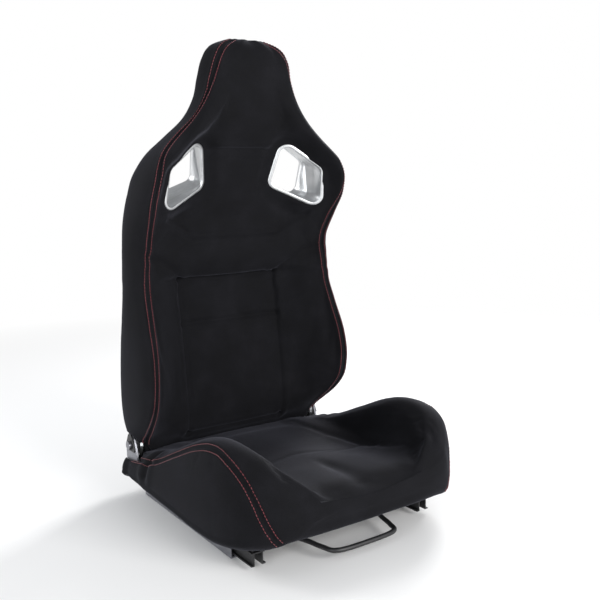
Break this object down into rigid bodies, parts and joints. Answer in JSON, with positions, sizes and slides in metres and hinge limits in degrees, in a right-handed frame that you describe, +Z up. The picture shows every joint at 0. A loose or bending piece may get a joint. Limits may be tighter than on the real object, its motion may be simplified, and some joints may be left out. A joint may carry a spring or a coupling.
{
  "type": "racing seat",
  "caption": "Reclining bucket seat with raised head pad, shoulder and thigh bolsters, two harness openings, side recliners and floor rails with a bar slide release.",
  "frame": {"origin": "middle of the seat's footprint box, on the underside plane of the lower rails; the seat's middle plane is 2.1 mm towards -X of it, because the recline lever stands out on the occupant's left", "axes": "+Z up, the seat faces -Y, +X towards the occupant's left"},
  "size_m": [0.5194, 0.552, 0.941],
  "materials": {
    "fabric": "short brushed suede cloth, near black, soft sheen",
    "foam": "moulded polyurethane foam, pale cream",
    "satin_aluminium": "satin anodised with a fine brushed grain",
    "zinc_steel": "grey zinc plate",
    "black_steel": "black satin powder coat",
    "spring_steel": "bare spring steel, lightly oiled",
    "black_plastic": "fine-grained black grip plastic",
    "bronze": "sintered bronze bush",
    "trim_tape": "woven grey closing tape"
  },
  "bodies": {
    "floor_rails": {"lower_rail_left": "zinc_steel", "lower_rail_right": "zinc_steel"},
    "ball_cage_left_body": {"ball_cage_left": "spring_steel"},
    "ball_cage_right_body": {"ball_cage_right": "spring_steel"},
    "seat_base": {"upper_rail_left": "black_steel", "upper_rail_right": "black_steel", "cushion_side_frame_left": "black_steel", "cushion_side_frame_right": "black_steel", "frame_bolt_front_left": "zinc_steel", "frame_bolt_front_right": "zinc_steel", "frame_bolt_rear_left": "zinc_steel", "frame_bolt_rear_right": "zinc_steel", "bracket_bolt_left": "zinc_steel", "bracket_bolt_right": "zinc_steel", "recliner_bracket_left": "zinc_steel", "recliner_bracket_right": "zinc_steel", "recliner_cover_left": "black_steel", "recliner_cover_right": "black_steel", "pivot_bolt_left": "zinc_steel", "pivot_bolt_right": "zinc_steel", "pivot_nut_left": "zinc_steel", "pivot_nut_right": "zinc_steel", "cushion_front_tube": "black_steel", "cushion_rear_tube": "black_steel", "cushion_spring_left": "spring_steel", "cushion_spring_middle": "spring_steel", "cushion_spring_right": "spring_steel", "cushion_foam": "foam", "cushion_cover": "fabric"},
    "slide_release": {"slide_handle": "black_steel", "slide_latch_left": "zinc_steel", "slide_latch_right": "zinc_steel"},
    "recline_release": {"recline_rod": "black_steel", "recline_lever": "black_steel", "lever_grip": "black_plastic", "recliner_pawl_left": "spring_steel", "recliner_pawl_right": "spring_steel"},
    "backrest": {"back_hoop": "black_steel", "back_lower_tube": "black_steel", "back_spring_upper": "spring_steel", "back_spring_lower": "spring_steel", "back_foam": "foam", "back_cover": "fabric", "wing_wire_left": "spring_steel", "wing_wire_right": "spring_steel", "bezel_front_left": "satin_aluminium", "bezel_front_right": "satin_aluminium", "bezel_rear_left": "satin_aluminium", "bezel_rear_right": "satin_aluminium", "recliner_arm_left": "black_steel", "recliner_arm_right": "black_steel", "pivot_bush_left": "bronze", "pivot_bush_right": "bronze", "recliner_spring_left": "spring_steel", "recliner_spring_right": "spring_steel", "edge_strip_left": "trim_tape", "edge_strip_right": "trim_tape"}
  },
  "joints": [
    {"name": "seat_slide", "type": "slide", "parent": "floor_rails", "child": "seat_base", "axis": [0, -1, 0], "range_m": [-0.08, 0.1]},
    {"name": "ball_cage_left_slide", "type": "slide", "parent": "floor_rails", "child": "ball_cage_left_body", "axis": [0, -1, 0], "range_m": [-0.04, 0.05]},
    {"name": "ball_cage_right_slide", "type": "slide", "parent": "floor_rails", "child": "ball_cage_right_body", "axis": [0, -1, 0], "range_m": [-0.04, 0.05]},
    {"name": "slide_release_hinge", "type": "hinge", "parent": "seat_base", "child": "slide_release", "pos_m": [-0.00213, -0.013, 0.027], "axis": [-1, 0, 0], "range_deg": [0, 3.5]},
    {"name": "recline_release_hinge", "type": "hinge", "parent": "seat_base", "child": "recline_release", "pos_m": [-0.00213, 0.197, 0.06], "axis": [-1, 0, 0], "range_deg": [0, 12]},
    {"name": "backrest_hinge", "type": "hinge", "parent": "seat_base", "child": "backrest", "pos_m": [-0.00213, 0.234, 0.112], "axis": [-1, 0, 0], "range_deg": [-8, 50]}
  ],
  "couplings": [
    {"joint": "ball_cage_left_slide", "follows": "seat_slide", "ratio": 0.5},
    {"joint": "ball_cage_right_slide", "follows": "seat_slide", "ratio": 0.5}
  ]
}
